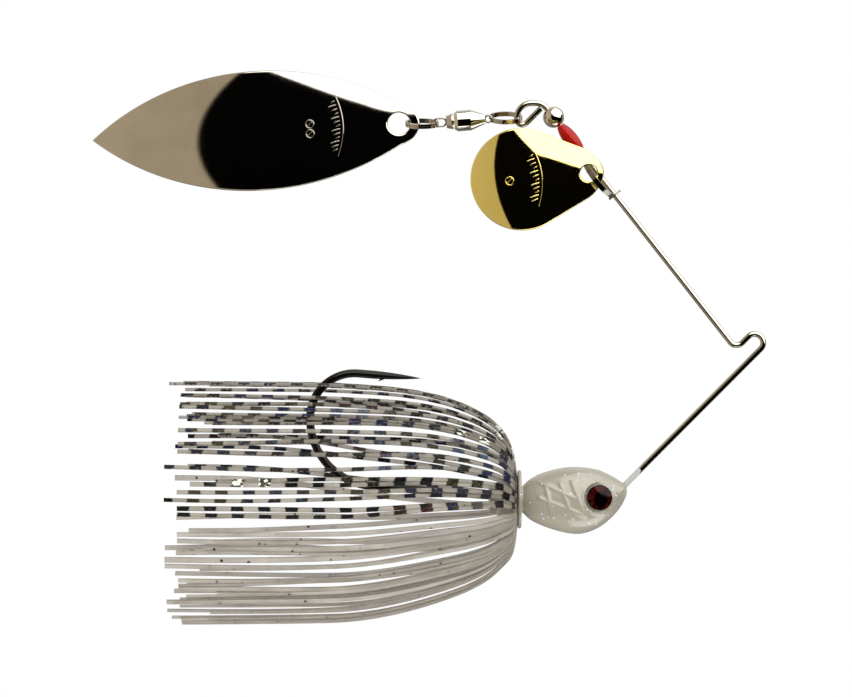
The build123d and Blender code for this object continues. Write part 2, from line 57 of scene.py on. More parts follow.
# ------------------------------------------------------------ node helpers
class Graph:
    """Short names for building a node tree."""

    def __init__(self, tree):
        self.tree = tree

    def node(self, kind, **values):
        n = self.tree.nodes.new(kind)
        for key, value in values.items():
            setattr(n, key, value)
        return n

    def plug(self, socket, value):
        if isinstance(value, bpy.types.NodeSocket):
            self.tree.links.new(value, socket)
        elif value is not None:
            socket.default_value = value

    def math(self, op, a, b=None):
        n = self.node("ShaderNodeMath", operation=op)
        self.plug(n.inputs[0], a)
        self.plug(n.inputs[1], b)
        return n.outputs[0]

    def times(self, product, *others):
        for other in others:
            product = self.math("MULTIPLY", product, other)
        return product

    def vmath(self, op, a, b=None, scale=None):
        n = self.node("ShaderNodeVectorMath", operation=op)
        self.plug(n.inputs[0], a)
        if b is not None:
            self.plug(n.inputs[1], b)
        if scale is not None:
            self.plug(n.inputs["Scale"], scale)
        return n.outputs["Value" if op == "LENGTH" else "Vector"]

    def split(self, vector):
        n = self.node("ShaderNodeSeparateXYZ")
        self.plug(n.inputs[0], vector)
        return n.outputs

    def join(self, x, y, z):
        n = self.node("ShaderNodeCombineXYZ")
        for i, v in enumerate((x, y, z)):
            self.plug(n.inputs[i], v)
        return n.outputs[0]

    def noise(self, vector, scale, detail=2.0, rough=0.5):
        n = self.node("ShaderNodeTexNoise")
        self.plug(n.inputs["Vector"], vector)
        n.inputs["Scale"].default_value = scale
        n.inputs["Detail"].default_value = detail
        n.inputs["Roughness"].default_value = rough
        return n.outputs["Fac"]

    def voronoi(self, vector, scale, out="Distance"):
        n = self.node("ShaderNodeTexVoronoi")
        self.plug(n.inputs["Vector"], vector)
        n.inputs["Scale"].default_value = scale
        return n.outputs[out]

    def ramp(self, value, low, high, a=0.0, b=1.0, smooth=True):
        n = self.node("ShaderNodeMapRange")
        n.interpolation_type = "SMOOTHSTEP" if smooth else "LINEAR"
        self.plug(n.inputs[0], value)
        for i, v in zip((1, 2, 3, 4), (low, high, a, b)):
            self.plug(n.inputs[i], v)
        return n.outputs[0]

    def mix(self, share, a, b):
        n = self.node("ShaderNodeMix", data_type="RGBA")
        self.plug(n.inputs[0], share)
        self.plug(n.inputs[6], a)
        self.plug(n.inputs[7], b)
        return n.outputs[2]

    def steps(self, value, stops):
        """A colour that changes in steps: each stop holds up to the next."""
        n = self.node("ShaderNodeValToRGB")
        ramp = n.color_ramp
        ramp.interpolation = "CONSTANT"
        while len(ramp.elements) < len(stops):
            ramp.elements.new(1.0)
        for element, (place, colour) in zip(ramp.elements, stops):
            element.position = place
            element.color = colour
        self.plug(n.inputs[0], value)
        return n.outputs[0]

    def curve(self, value, points):
        n = self.node("ShaderNodeFloatCurve")
        line = n.mapping.curves[0]
        while len(line.points) < len(points):
            line.points.new(0.5, 0.5)
        for point, place in zip(line.points, sorted(points)):
            point.location = place
        n.mapping.update()
        self.plug(n.inputs["Value"], value)
        return n.outputs[0]

    def bump(self, height, distance, strength):
        n = self.node("ShaderNodeBump")
        n.inputs["Strength"].default_value = strength
        n.inputs["Distance"].default_value = distance
        self.plug(n.inputs["Height"], height)
        return n.outputs[0]


def material(name):
    m = bpy.data.materials.new(name)
    m.use_nodes = True
    m.node_tree.nodes.clear()
    g = Graph(m.node_tree)
    shader = g.node("ShaderNodeBsdfPrincipled")
    out = g.node("ShaderNodeOutputMaterial")
    m.node_tree.links.new(shader.outputs[0], out.inputs[0])
    place = g.node("ShaderNodeTexCoord").outputs["Object"]
    return m, g, shader, place


def shade(colour, factor):
    return tuple(c * factor for c in colour[:3]) + (1.0,)


# ------------------------------------------------------- world and lighting
world = bpy.data.worlds.new("studio")
scene.world = world
world.use_nodes = True
world.node_tree.nodes.clear()
w = Graph(world.node_tree)
direction = w.vmath("NORMALIZE", w.node("ShaderNodeTexCoord").outputs["Generated"])
_, away, up = w.split(direction)
# The studio is laid out as a mirror ball that faces -Y shows it:
# right is the place across the ball and high the place up it, from -1 to 1.
right, _, high = w.split(w.vmath("NORMALIZE", w.vmath("SUBTRACT", direction, (0.0, 1.0, 0.0))))


def left_card():
    """Large warm card on the left. Its edge bends towards the right above and below."""
    bend = w.math("MINIMUM", w.times(high, high), 0.2)
    edge = w.math("ADD", -0.258, w.times(bend, 0.78))
    inside = w.ramp(w.math("SUBTRACT", edge, right), -0.004, 0.006)
    tone = w.ramp(right, -0.24, -0.75, 0.50, 0.70)
    fade = w.ramp(w.math("ABSOLUTE", high), 0.55, 0.95, 1.0, 0.35)
    warm = w.vmath("SCALE", (1.0, 0.86, 0.64), scale=w.times(tone, fade))
    return w.vmath("SCALE", warm, scale=inside)


# the upper softbox's lower edge: share of the way right, and share of the way up
EDGE_RIGHT, EDGE_HIGH = (-0.30, 0.90), (-0.10, 0.50)
EDGE = (
    (0.0, 0.93), (0.042, 0.833), (0.153, 0.578), (0.25, 0.378), (0.292, 0.312),
    (0.364, 0.272), (0.567, 0.165), (0.883, 0.083), (1.0, 0.06),
)


def upper_box():
    """Oval softbox with a straight foot. Its lower edge falls from left to right."""
    share = w.ramp(right, *EDGE_RIGHT, smooth=False)
    edge = w.ramp(w.curve(share, EDGE), 0.0, 1.0, *EDGE_HIGH, smooth=False)
    above = w.ramp(w.math("SUBTRACT", high, edge), -0.006, 0.006)
    limits = w.times(w.ramp(high, 0.845, 0.80), w.ramp(right, -0.20, -0.185))
    from_middle = w.vmath("SUBTRACT", w.join(right, high, 0.0), (0.28, 0.43, 0.0))
    oval = w.vmath("LENGTH", w.vmath("MULTIPLY", from_middle, (2.05, 2.42, 0.0)))
    foot = w.times(w.ramp(high, 0.33, 0.30), w.ramp(right, 0.66, 0.60))
    return w.times(above, limits, w.math("MAXIMUM", w.ramp(oval, 1.015, 0.985), foot))


def lower_box():
    tall = w.times(w.ramp(high, -0.54, -0.56), w.ramp(high, -0.76, -0.73))
    wide = w.times(w.ramp(right, -0.12, -0.10), w.ramp(right, 0.64, 0.60))
    return w.times(tall, wide)


def studio():
    """What shiny surfaces see. Behind the object it is grey, and brighter overhead."""
    panels = w.times(w.math("MAXIMUM", upper_box(), lower_box()), 2.8)
    white = w.vmath("SCALE", (1.0, 1.0, 0.985), scale=panels)
    front = w.vmath("ADD", w.vmath("ADD", left_card(), white), (0.0015, 0.0015, 0.0015))
    back = w.vmath("SCALE", (1.0, 0.97, 0.92), scale=w.ramp(up, -0.6, 0.9, 0.22, 0.85))
    return w.mix(w.ramp(away, 0.10, 0.55), front, back)


def background(colour, strength):
    n = w.node("ShaderNodeBackground")
    w.plug(n.inputs[0], colour)
    n.inputs[1].default_value = strength
    return n.outputs[0]


def blend_shader(share, a, b):
    n = w.node("ShaderNodeMixShader")
    w.plug(n.inputs[0], share)
    w.tree.links.new(a, n.inputs[1])
    w.tree.links.new(b, n.inputs[2])
    return n.outputs[0]


rays = w.node("ShaderNodeLightPath").outputs
soft = background((0.98, 0.97, 0.93, 1.0), 0.50)
clear = background((1.0, 1.0, 1.0, 1.0), 1.0)
lit = blend_shader(rays["Is Glossy Ray"], soft, background(studio(), 1.0))
straight = w.math("MAXIMUM", rays["Is Camera Ray"], rays["Is Transmission Ray"])
shown = blend_shader(straight, lit, clear)
w.tree.links.new(shown, w.node("ShaderNodeOutputWorld").inputs[0])


def softbox(name, place, aim, size, watts):
    data = bpy.data.lights.new(name, "AREA")
    data.shape = "RECTANGLE"
    data.size, data.size_y = size
    data.energy = watts
    lamp = bpy.data.objects.new(name, data)
    lamp.location = place
    lamp.rotation_euler = (Vector(aim) - Vector(place)).to_track_quat("-Z", "Y").to_euler()
    lamp.visible_glossy = False
    lamp.visible_transmission = False
    scene.collection.objects.link(lamp)


LURE_MIDDLE = (-0.05, 0, -0.005)
softbox("key", (0.30, -0.45, 0.55), LURE_MIDDLE, (0.5, 0.5), 4.5)
softbox("fill", (-0.45, -0.50, 0.10), LURE_MIDDLE, (0.5, 0.5), 2.0)
softbox("rear", (-0.10, 0.60, 0.40), LURE_MIDDLE, (0.6, 0.4), 2.0)


def lay_floor(half, level):
    mesh = bpy.data.meshes.new("floor")
    corners = [(-half, -half, level), (half, -half, level), (half, half, level), (-half, half, level)]
    mesh.from_pydata(corners, [], [(0, 1, 2, 3)])
    floor = bpy.data.objects.new("floor", mesh)
    scene.collection.objects.link(floor)
    m, _, s, _ = material("floor")
    s.inputs["Base Color"].default_value = (0.9, 0.9, 0.89, 1)
    s.inputs["Roughness"].default_value = 0.9
    s.inputs["Emission Color"].default_value = (1, 1, 1, 1)
    s.inputs["Emission Strength"].default_value = 0.45
    mesh.materials.append(m)
    floor.visible_glossy = False


lay_floor(1.6, -0.36)


# --------------------------------------------------------------- materials
def metal(name, colour, rough, scratch, speck, tint=None):
    """Plated or polished metal: fine rub marks, faint waviness and small tone changes."""
    m, g, s, place = material(name)
    fine = g.noise(place, 2600, 3, 0.6)
    broad = g.noise(place, 180, 3, 0.55)
    rub = g.noise(g.vmath("MULTIPLY", place, (9000.0, 9000.0, 700.0)), 1.0)
    base = g.mix(g.ramp(broad, 0.35, 0.75), colour, tint or shade(colour, 0.86))
    spots = g.ramp(g.voronoi(place, 1400), 0.10, 0.05)
    rare = g.ramp(g.noise(place, 700, 1), 0.60, 0.66)
    base = g.mix(g.times(spots, rare, speck), base, (0.05, 0.045, 0.035, 1.0))
    s.inputs["Metallic"].default_value = 1.0
    g.plug(s.inputs["Base Color"], base)
    g.plug(s.inputs["Roughness"], g.ramp(fine, 0.2, 0.8, rough * 0.7, rough * 1.4, smooth=False))
    height = g.math("ADD", g.times(rub, 0.4), g.times(fine, 0.6))
    g.plug(s.inputs["Normal"], g.bump(height, 0.000004, scratch))
    return m, g, s, base


def pearl_base(g, place, colour):
    """Pearl paint colour: soft clouds, violet and white sparkle flakes given a colour above one as a painted
    glint, and a few gold flakes.
    """
    flakes_and_painted_glint = (
        # the violet and white flakes have colours above one, a painted glint; the gold flakes are plain
        # colour
        (1100, 0.10, 0.42, (1.6, 1.45, 2.6, 1.0)),
        (1500, 0.095, 0.55, (2.2, 2.3, 2.6, 1.0)),
        (1300, 0.11, 0.45, (0.40, 0.31, 0.05, 1.0)),
    )
    base = g.mix(g.ramp(g.noise(place, 260, 4, 0.55), 0.3, 0.7), colour, shade(colour, 0.86))
    for scale, size, keep, flake in flakes_and_painted_glint:
        shifted = g.vmath("ADD", place, (scale * 0.001, scale * 0.0007, 0.3))
        dot = g.ramp(g.voronoi(shifted, scale), size, size * 0.6)
        lucky = g.ramp(g.split(g.voronoi(shifted, scale, out="Color"))[0], keep, keep + 0.01)
        base = g.mix(g.times(dot, lucky), base, flake)
    return base


def black_plate():
    light, dark = (0.020, 0.018, 0.016, 1.0), (0.012, 0.011, 0.010, 1.0)
    m, _, s, _ = metal("black_nickel", light, 0.10, 0.35, 0.2, dark)
    s.inputs["Metallic"].default_value = 0.85
    return m


def frame_wire():
    """Bare wire, with the last millimetres by the head under the head's paint."""
    m, g, s, base = metal("frame_wire", (0.50, 0.465, 0.40, 1.0), 0.09, 0.25, 0.2)
    place = g.node("ShaderNodeTexCoord").outputs["Object"]
    along, _, height = g.split(place)
    ragged = g.times(g.math("SUBTRACT", g.noise(place, 1500), 0.5), 0.0016)
    near_head = g.ramp(g.math("ADD", along, ragged), -0.01765, -0.01785)
    painted = g.times(near_head, g.ramp(height, -0.014, -0.0145))
    g.plug(s.inputs["Base Color"], g.mix(painted, base, (0.44, 0.43, 0.42, 1.0)))
    g.plug(s.inputs["Metallic"], g.math("SUBTRACT", 1.0, painted))
    return m


def pearl_paint():
    m, g, s, place = material("pearl_paint")
    g.plug(s.inputs["Base Color"], pearl_base(g, place, (0.355, 0.328, 0.262, 1.0)))
    g.plug(s.inputs["Roughness"], g.ramp(g.noise(place, 900, 3), 0.3, 0.7, 0.30, 0.42))
    s.inputs["Coat Weight"].default_value = 1.0
    s.inputs["Coat Roughness"].default_value = 0.035
    s.inputs["Specular IOR Level"].default_value = 0.4
    g.plug(s.inputs["Normal"], g.bump(g.noise(place, 420, 3), 0.00006, 0.35))
    return m


EYE_X, EYE_Z = -24.13, -23.89


def eye_lacquer():
    """Black pupil, a little low and forward in a dark red iris, under lacquer."""
    m, g, s, place = material("eye_lacquer")
    eye = (EYE_X * MM, 0.0, EYE_Z * MM)
    pupil = (eye[0] + 0.00018, 0.0, eye[2] - 0.00025)
    from_eye = g.vmath("MULTIPLY", g.vmath("SUBTRACT", place, eye), (1.0, 0.0, 1.0))
    from_pupil = g.vmath("MULTIPLY", g.vmath("SUBTRACT", place, pupil), (1.12, 0.0, 1.0))
    swirl = g.noise(g.vmath("NORMALIZE", from_eye), 2.3, 3, 0.6)
    grain = g.ramp(g.noise(place, 4200, 3), 0.45, 0.75, 0.0, 0.5)
    in_pupil = g.ramp(g.vmath("LENGTH", from_pupil), 0.00128, 0.00112)
    in_rim = g.ramp(g.vmath("LENGTH", from_eye), 0.00172, 0.00186)
    iris = g.mix(g.ramp(swirl, 0.42, 0.62), (0.008, 0.0006, 0.0004, 1.0), (0.052, 0.0022, 0.0015, 1.0))
    iris = g.mix(grain, iris, (0.012, 0.001, 0.001, 1.0))
    iris = g.mix(in_pupil, iris, (0.0004, 0.0003, 0.0003, 1.0))
    g.plug(s.inputs["Base Color"], g.mix(in_rim, iris, (0.001, 0.001, 0.001, 1.0)))
    g.plug(s.inputs["Roughness"], g.ramp(g.noise(place, 1500), 0.3, 0.7, 0.10, 0.2))
    s.inputs["Coat Weight"].default_value = 0.12
    s.inputs["Coat Roughness"].default_value = 0.12
    s.inputs["Specular IOR Level"].default_value = 0.12
    return m


def ruby_plastic():
    """Red moulded plastic that lets a little light through."""
    m, g, s, place = material("ruby_plastic")
    cloud = g.ramp(g.noise(place, 700, 3), 0.3, 0.7)
    g.plug(s.inputs["Base Color"], g.mix(cloud, (0.46, 0.006, 0.004, 1.0), (0.36, 0.004, 0.003, 1.0)))
    g.plug(s.inputs["Roughness"], g.ramp(g.noise(place, 1800), 0.3, 0.7, 0.04, 0.07))
    s.inputs["IOR"].default_value = 1.46
    s.inputs["Transmission Weight"].default_value = 0.04
    s.inputs["Specular IOR Level"].default_value = 0.25
    g.plug(s.inputs["Normal"], g.bump(g.noise(place, 500, 1), 0.00002, 0.15))
    return m


def elastic_band():
    """Rubber band with fine ribs round the head's axis."""
    m, g, s, place = material("elastic_band")
    _, side, height = g.split(g.vmath("SUBTRACT", place, (0.0, 0.0, -0.02427)))
    ribs = g.math("SINE", g.times(g.math("ARCTAN2", side, height), 40.0))
    cloud = g.ramp(g.noise(place, 1200, 3), 0.3, 0.7)
    g.plug(s.inputs["Base Color"], g.mix(cloud, (0.40, 0.37, 0.31, 1.0), (0.31, 0.285, 0.235, 1.0)))
    g.plug(s.inputs["Roughness"], g.ramp(g.noise(place, 1500), 0.3, 0.7, 0.38, 0.52))
    relief = g.math("ADD", g.times(ribs, 0.3), g.noise(place, 2500))
    g.plug(s.inputs["Normal"], g.bump(relief, 0.00003, 0.4))
    return m


FOIL_PITCH = 4.1
# dark foil colours, and a last pale yellow-white stop that is a painted highlight of the foil's sheen
FOIL_COLOURS_AND_HIGHLIGHT = (
    (0.0, (0.004, 0.004, 0.005, 1)), (0.34, (0.006, 0.008, 0.035, 1)), (0.46, (0.030, 0.028, 0.010, 1)),
    (0.54, (0.004, 0.004, 0.005, 1)), (0.68, (0.035, 0.012, 0.009, 1)), (0.72, (0.045, 0.065, 0.11, 1)),
    (0.76, (0.018, 0.018, 0.016, 1)), (0.84, (0.010, 0.011, 0.02, 1)), (0.935, (0.95, 0.95, 0.80, 1)),
)


def foil_print(g, along, across, who):
    """Ragged foil patches at an even pitch: how much foil, and its colour, where the pale yellow-white
    patches are a painted highlight.
    """
    pair = g.math("FLOOR", who)
    shift = g.node("ShaderNodeTexWhiteNoise", noise_dimensions="1D")
    g.plug(shift.inputs["W"], pair)
    beat = g.math("ADD", g.math("DIVIDE", along, FOIL_PITCH), shift.outputs["Value"])
    grain_at = g.join(g.times(along, 1.9), g.times(across, 0.9), g.times(who, 17.0))
    grain = g.math("SUBTRACT", g.noise(grain_at, 1.0, 3, 0.65), 0.5)
    ragged = g.math("ADD", g.math("FRACT", beat), g.times(grain, 0.22))
    border = g.math("ADD", g.math("ABSOLUTE", across), g.times(grain, 0.9))
    worn = g.noise(g.join(g.times(along, 0.05), pair, 3.0), 1.0, 1)
    holes = g.ramp(g.noise(grain_at, 2.6, 2, 0.75), 0.29, 0.33)
    ends = g.times(g.ramp(ragged, 0.02, 0.05), g.ramp(ragged, 0.50, 0.47))
    foil = g.times(ends, holes, g.ramp(border, 0.98, 0.88), g.ramp(worn, 0.30, 0.42, 0.75, 1.0))
    pick = g.node("ShaderNodeTexWhiteNoise", noise_dimensions="2D")
    g.plug(pick.inputs["Vector"], g.join(g.math("FLOOR", g.times(g.math("FLOOR", beat), 0.5)), pair, 0.0))
    near = g.noise(grain_at, 0.8, 1)
    choice = g.math("ADD", g.times(pick.outputs["Value"], 0.86), g.times(near, 0.16))
    return foil, g.steps(choice, FOIL_COLOURS_AND_HIGHLIGHT)


def silicone(name, printed, light, dark, speck_size, specular):
    """Pearl silicone strand.

    The run attribute holds millimetres along, -1..1 across, and the strand's number.
    """
    m, g, s, _ = material(name)
    run = g.node("ShaderNodeAttribute", attribute_name="run").outputs["Vector"]
    along, across, who = g.split(run)
    tone = g.noise(g.join(g.times(along, 0.15), 0.0, g.times(who, 9.0)), 1.0)
    base = g.mix(g.ramp(tone, 0.3, 0.7), light, dark)
    # painted shade: each strand is darkened towards both edges of its width
    side = g.ramp(g.math("ABSOLUTE", across), 0.55, 0.95)
    base = g.mix(g.times(side, 0.4), base, (0.22, 0.195, 0.16, 1.0))
    # fine dark specks moulded into the silicone
    fleck_at = g.join(g.times(along, 0.62), g.times(across, 0.28), g.times(who, 31.0))
    fleck = g.ramp(g.voronoi(fleck_at, 1.0), speck_size, 0.09)
    seen = g.ramp(g.split(g.voronoi(fleck_at, 1.0, out="Color"))[1], 0.45, 0.5, 0.35, 1.0)
    base = g.mix(g.times(fleck, seen), base, (0.01, 0.012, 0.015, 1.0))
    if printed:
        foil, foil_colour_and_highlight = foil_print(g, along, across, who)
        # the foil colour carries a painted highlight on some patches
        base = g.mix(foil, base, foil_colour_and_highlight)
        alpha = g.ramp(foil, 0.0, 1.0, 0.66, 0.98)
    else:
        alpha = g.ramp(fleck, 0.0, 1.0, 0.66, 1.0)
    g.plug(s.inputs["Alpha"], alpha)
    g.plug(s.inputs["Base Color"], base)
    g.plug(s.inputs["Roughness"], g.ramp(g.noise(run, 1.3), 0.3, 0.7, 0.34, 0.46))
    s.inputs["Specular IOR Level"].default_value = specular
    streaks = g.noise(g.join(g.times(along, 0.4), g.times(across, 4.0), who), 1.0)
    g.plug(s.inputs["Normal"], g.bump(streaks, 0.00004, 0.5))
    return m


nickel = metal("nickel_plate", (0.69, 0.64, 0.55, 1.0), 0.03, 0.08, 0.2)[0]
willow_metal = metal(
    "nickel_blade", (0.62, 0.575, 0.50, 1.0), 0.035, 0.22, 0.5, (0.56, 0.515, 0.44, 1.0))[0]
gold_metal = metal(
    "gold_blade", (1.0, 0.84, 0.285, 1.0), 0.035, 0.22, 0.5, (0.98, 0.80, 0.245, 1.0))[0]
swivel_metal = metal("swivel_plate", (0.66, 0.61, 0.52, 1.0), 0.045, 0.12, 0.3)[0]
ring_metal = metal("ring_plate", (0.46, 0.425, 0.355, 1.0), 0.12, 0.2, 0.3)[0]
clevis_metal = metal("clevis_plate", (0.24, 0.222, 0.187, 1.0), 0.12, 0.2, 0.3)[0]
stainless = metal("stainless", (0.46, 0.43, 0.37, 1.0), 0.12, 0.3, 0.2)[0]
black_nickel = black_plate()
wire_mat = frame_wire()
pearl = pearl_paint()
eye_mat = eye_lacquer()
ruby = ruby_plastic()
band_mat = elastic_band()
strand_printed = silicone(
    "silicone_printed", True, (0.37, 0.333, 0.28, 1.0), (0.25, 0.225, 0.185, 1.0), 0.15, 0.12)
strand_plain = silicone(
    "silicone_plain", False, (0.46, 0.42, 0.36, 1.0), (0.33, 0.298, 0.25, 1.0), 0.19, 0.30)


# ---------------------------------------------------------------- mesh tools
def add_piece(name, verts, faces, mat, body, nodes=()):
    """A mesh given in millimetres becomes a piece that rides on a body."""
    mesh = bpy.data.meshes.new(name)
    mesh.from_pydata([(x * MM, y * MM, z * MM) for x, y, z in verts], [], faces)
    mesh.materials.append(mat)
    mesh.shade_smooth()
    piece = bpy.data.objects.new(name, mesh)
    scene.collection.objects.link(piece)
    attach(piece, body)
    if nodes:
        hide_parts(*nodes)
    return piece


def glide(knots, per_span):
    """Catmull-Rom samples through the knots."""
    knots = [tuple(k) for k in knots]
    before = tuple(2 * a - b for a, b in zip(knots[0], knots[1]))
    after = tuple(2 * a - b for a, b in zip(knots[-1], knots[-2]))
    line = [before] + knots + [after]
    out = []
    for span in zip(line, line[1:], line[2:], line[3:]):
        for j in range(per_span):
            t = j / per_span
            out.append(tuple(
                0.5 * (2 * b + (c - a) * t + (2 * a - 5 * b + 4 * c - d) * t * t
                       + (3 * b - a - 3 * c + d) * t ** 3)
                for a, b, c, d in zip(*span)))
    out.append(knots[-1])
    return out


def rings_to_faces(rings, around, first=0, caps=True):
    faces = []
    for i in range(rings - 1):
        for j in range(around):
            k = (j + 1) % around
            a = first + i * around
            faces.append((a + j, a + k, a + around + k, a + around + j))
    if caps:
        faces.append(tuple(first + j for j in range(around))[::-1])
        faces.append(tuple(first + (rings - 1) * around + j for j in range(around)))
    return faces


def turns(count):
    """The angles that divide a full turn evenly."""
    return [2 * math.pi * j / count for j in range(count)]


def tube(points, radius, around):
    """Round bar along points; returns its vertices and faces."""
    verts = []
    points = [Vector(p) for p in points]
    normal = (points[1] - points[0]).normalized().orthogonal().normalized()
    for i, point in enumerate(points):
        tangent = (points[min(i + 1, len(points) - 1)] - points[max(i - 1, 0)]).normalized()
        normal = (normal - tangent * normal.dot(tangent)).normalized()
        other = tangent.cross(normal)
        for a in turns(around):
            verts.append(point + normal * radius * math.cos(a) + other * radius * math.sin(a))
    return verts, rings_to_faces(len(points), around)


def heading(degrees):
    a = math.radians(degrees)
    return Vector((math.cos(a), 0.0, math.sin(a)))


def arc(a, b, c, count):
    """Points from a through b to c on one circle, without the last."""
    (ax, ay), (bx, by), (cx, cy) = a, b, c
    aa, bb, cc = ax * ax + ay * ay, bx * bx + by * by, cx * cx + cy * cy
    d = 2 * (ax * (by - cy) + bx * (cy - ay) + cx * (ay - by))
    ux = (aa * (by - cy) + bb * (cy - ay) + cc * (ay - by)) / d
    uy = (aa * (cx - bx) + bb * (ax - cx) + cc * (bx - ax)) / d
    r = math.hypot(ax - ux, ay - uy)
    start, mid, end = (math.atan2(y - uy, x - ux) for x, y in (a, b, c))
    turn = (end - start) % (2 * math.pi)
    if (mid - start) % (2 * math.pi) > turn:
        turn -= 2 * math.pi
    angles = [start + turn * i / count for i in range(count)]
    return [(ux + r * math.cos(angle), uy + r * math.sin(angle)) for angle in angles]


def ease(value, low, high):
    t = max(0.0, min(1.0, (value - low) / (high - low)))
    return t * t * (3 - 2 * t)


# -------------------------------------------------------------------- blades
POINT_GAP = 0.45
RIM_STEPS = 6


def edge_directions(loop):
    """At each point of a loop, the direction in which the loop runs."""
    directions = []
    for i in range(len(loop)):
        before, after = Vector(loop[i - 1]), Vector(loop[(i + 1) % len(loop)])
        directions.append((after - before).normalized())
    return directions


def inset(loop, amount):
    return [(x - run.y * amount, y + run.x * amount) for (x, y), run in zip(loop, edge_directions(loop))]


def anticlockwise(loop):
    area = sum(a[0] * b[1] - b[0] * a[1] for a, b in zip(loop, loop[1:] + loop[:1]))
    return loop if area > 0 else loop[::-1]


def inside(spot, loop):
    hit = False
    x, y = spot
    for (x0, y0), (x1, y1) in zip(loop, loop[1:] + loop[:1]):
        if (y0 > y) != (y1 > y) and x < (x1 - x0) * (y - y0) / (y1 - y0) + x0:
            hit = not hit
    return hit


class Blade:
    """Barrel-dished sheet, placed by its hole, its direction and the way it faces."""

    def __init__(self, length, thickness, hole_at, hole_r, hole, turn, dish, middle, yaw, pitch):
        self.length, self.t, self.hole_at, self.hole_r = length, thickness, hole_at, hole_r
        self.dish_long, self.dish_wide = dish
        self.middle = middle
        self.edge_r = thickness * 0.46
        ya, pa = math.radians(yaw), math.radians(pitch)
        self.facing = Vector((math.sin(ya) * math.cos(pa), -math.cos(ya) * math.cos(pa), math.sin(pa)))
        along = heading(turn)
        self.along = (along - self.facing * along.dot(self.facing)).normalized()
        self.across = self.facing.cross(self.along)
        sink = self.dish_long - math.sqrt(self.dish_long ** 2 - (hole_at - middle) ** 2)
        self.hole, self.hole_height = Vector(hole), -sink - thickness / 2

    def surface(self, u, v, level):
        """Point at a level below the convex face, and the face's normal."""
        far = math.sqrt(self.dish_long ** 2 - (u - self.middle) ** 2)
        ring = self.dish_wide - (self.dish_long - far) - level
        drop = math.sqrt(ring * ring - v * v)
        slope_u = -ring * (u - self.middle) / far / drop
        n = Vector((-slope_u, v / drop, 1.0)).normalized()
        height = drop - self.dish_wide - self.hole_height
        point = self.hole + self.along * (u - self.hole_at) + self.across * v + self.facing * height
        return point, (self.along * n.x + self.across * n.y + self.facing * n.z)

    def clear_of_hole(self, spot, gap):
        return (spot - Vector((self.hole_at, 0))).length > self.hole_r + gap

    def flat_mesh(self, outer, inner, half_width):
        """Even triangles between the outline and the hole."""
        rim = [Vector(p) for p in outer]
        flat = rim + [Vector(p) for p in inner]
        rows = int(half_width / POINT_GAP) + 1
        for i in range(int(self.length / POINT_GAP) + 2):
            for j in range(-rows, rows + 1):
                spot = Vector((i * POINT_GAP, (j + 0.5 * (i % 2)) * POINT_GAP))
                if not inside(spot, outer) or not self.clear_of_hole(spot, self.edge_r + 0.2):
                    continue
                if min((spot - r).length_squared for r in rim) > 0.05:
                    flat.append(spot)
        n0, n1 = len(outer), len(inner)
        edges = [(i, (i + 1) % n0) for i in range(n0)]
        edges += [(n0 + i, n0 + (i + 1) % n1) for i in range(n1)]
        points, _, triangles, *_ = geometry.delaunay_2d_cdt(flat, edges, [], 0, 1e-5)
        kept = []
        for triangle in triangles:
            centre = sum((points[i] for i in triangle), Vector((0, 0))) / len(triangle)
            if inside(centre, outer) and self.clear_of_hole(centre, self.edge_r * 0.98):
                kept.append(tuple(triangle))
        return points, kept

    def add_rim(self, loop, start, back, verts, normals, faces):
        """Rounded edge along a loop, bulging from the sheets' edge to the full outline."""
        size, base = len(loop), len(verts)
        for (x, y), run in zip(loop, edge_directions(loop)):
            out = Vector((run.y, -run.x))
            side = self.along * out.x + self.across * out.y
            for k in range(1, RIM_STEPS):
                a = math.pi * k / RIM_STEPS
                bulge = self.edge_r * math.sin(a)
                place, n = self.surface(x + out.x * bulge, y + out.y * bulge, self.t * (1 - math.cos(a)) / 2)
                verts.append(place)
                normals.append((n * math.cos(a) + side * math.sin(a)).normalized())
        for i in range(size):
            columns = []
            for at in (i, (i + 1) % size):
                first = base + at * (RIM_STEPS - 1)
                columns.append([start + at, *range(first, first + RIM_STEPS - 1), start + at + back])
            here, there = columns
            for k in range(RIM_STEPS):
                faces.append((here[k], here[k + 1], there[k + 1], there[k]))

    def build(self, name, outline, mat):
        """Two sheets a thickness apart, joined by a rounded rim along the outline and the hole."""
        outline = anticlockwise(outline)
        hole = [(self.hole_at + self.hole_r * math.cos(-a), self.hole_r * math.sin(-a)) for a in turns(72)]
        outer, inner = inset(outline, self.edge_r), inset(hole, self.edge_r)
        points, kept = self.flat_mesh(outer, inner, max(abs(y) for _, y in outline))
        count = len(points)
        verts, normals = [], []
        for level, sign in ((0.0, 1), (self.t, -1)):
            for point in points:
                place, n = self.surface(point.x, point.y, level)
                verts.append(place)
                normals.append(n * sign)
        faces = kept + [tuple(i + count for i in triangle[::-1]) for triangle in kept]
        self.add_rim(outer, 0, count, verts, normals, faces)
        self.add_rim(inner, len(outer), count, verts, normals, faces)
        piece = add_piece(name + "_sheet", verts, faces, mat, name, (name,))
        piece.data.normals_split_custom_set_from_vertices([tuple(n) for n in normals])

    def stamp(self, name, strokes, mat, node, radius=0.085):
        """Raised strokes left by the die, half sunk in the convex face."""
        verts, faces = [], []
        for stroke in strokes:
            line = [self.surface(u, v, radius * 0.35)[0] for u, v in glide(stroke, 6)]
            new_verts, new_faces = tube(line, radius, 8)
            faces += [tuple(i + len(verts) for i in face) for face in new_faces]
            verts += new_verts
        add_piece(name, verts, faces, mat, node)


def mirrored(upper):
    return upper + [(u, -v) for u, v in upper[::-1] if abs(v) > 1e-6 and u > 1e-6]


